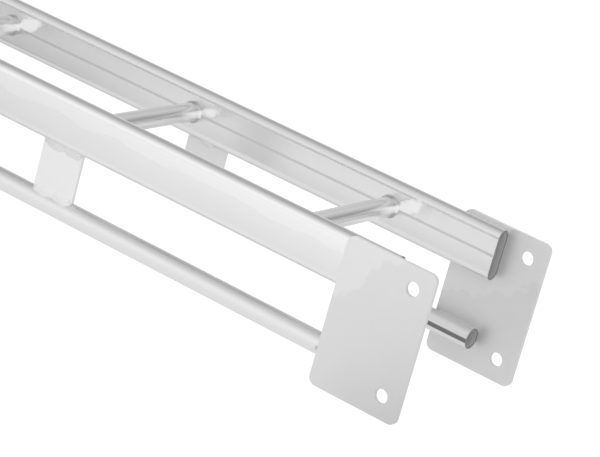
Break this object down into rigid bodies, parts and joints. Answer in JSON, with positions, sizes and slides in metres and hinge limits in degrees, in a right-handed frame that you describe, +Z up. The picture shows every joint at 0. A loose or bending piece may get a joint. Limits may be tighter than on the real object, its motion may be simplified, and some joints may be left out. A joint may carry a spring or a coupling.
{
  "type": "cable ladder section",
  "caption": "Straight cable ladder section: flat-oval tube rails joined by round rungs, a tube chord below each rail on web plates, and drilled end plates for joining.",
  "frame": {"origin": "on the floor at the middle of the ladder, level with the bottom edges of the end plates", "axes": "+X along the ladder, +Y across it, +Z up, with the cable side on top"},
  "size_m": [3.096, 0.208, 0.15],
  "materials": {
    "rail": "satin, drawn tube",
    "chord": "satin, drawn tube",
    "rung": "satin, drawn tube",
    "web_plate": "matt satin, cut from flat strip",
    "end_plate": "matt satin, cut from flat plate"
  },
  "bodies": {
    "root": {"rail_left": "rail", "rail_right": "rail", "chord_left": "chord", "chord_right": "chord", "rung_1": "rung", "rung_2": "rung", "rung_3": "rung", "rung_4": "rung", "rung_5": "rung", "rung_6": "rung", "rung_7": "rung", "rung_8": "rung", "rung_9": "rung", "rung_10": "rung", "rung_11": "rung", "rung_12": "rung", "web_plate_left_1": "web_plate", "web_plate_left_2": "web_plate", "web_plate_left_3": "web_plate", "web_plate_left_4": "web_plate", "web_plate_right_1": "web_plate", "web_plate_right_2": "web_plate", "web_plate_right_3": "web_plate", "web_plate_right_4": "web_plate", "end_plate_left_1": "end_plate", "end_plate_left_2": "end_plate", "end_plate_right_1": "end_plate", "end_plate_right_2": "end_plate"}
  },
  "joints": []
}
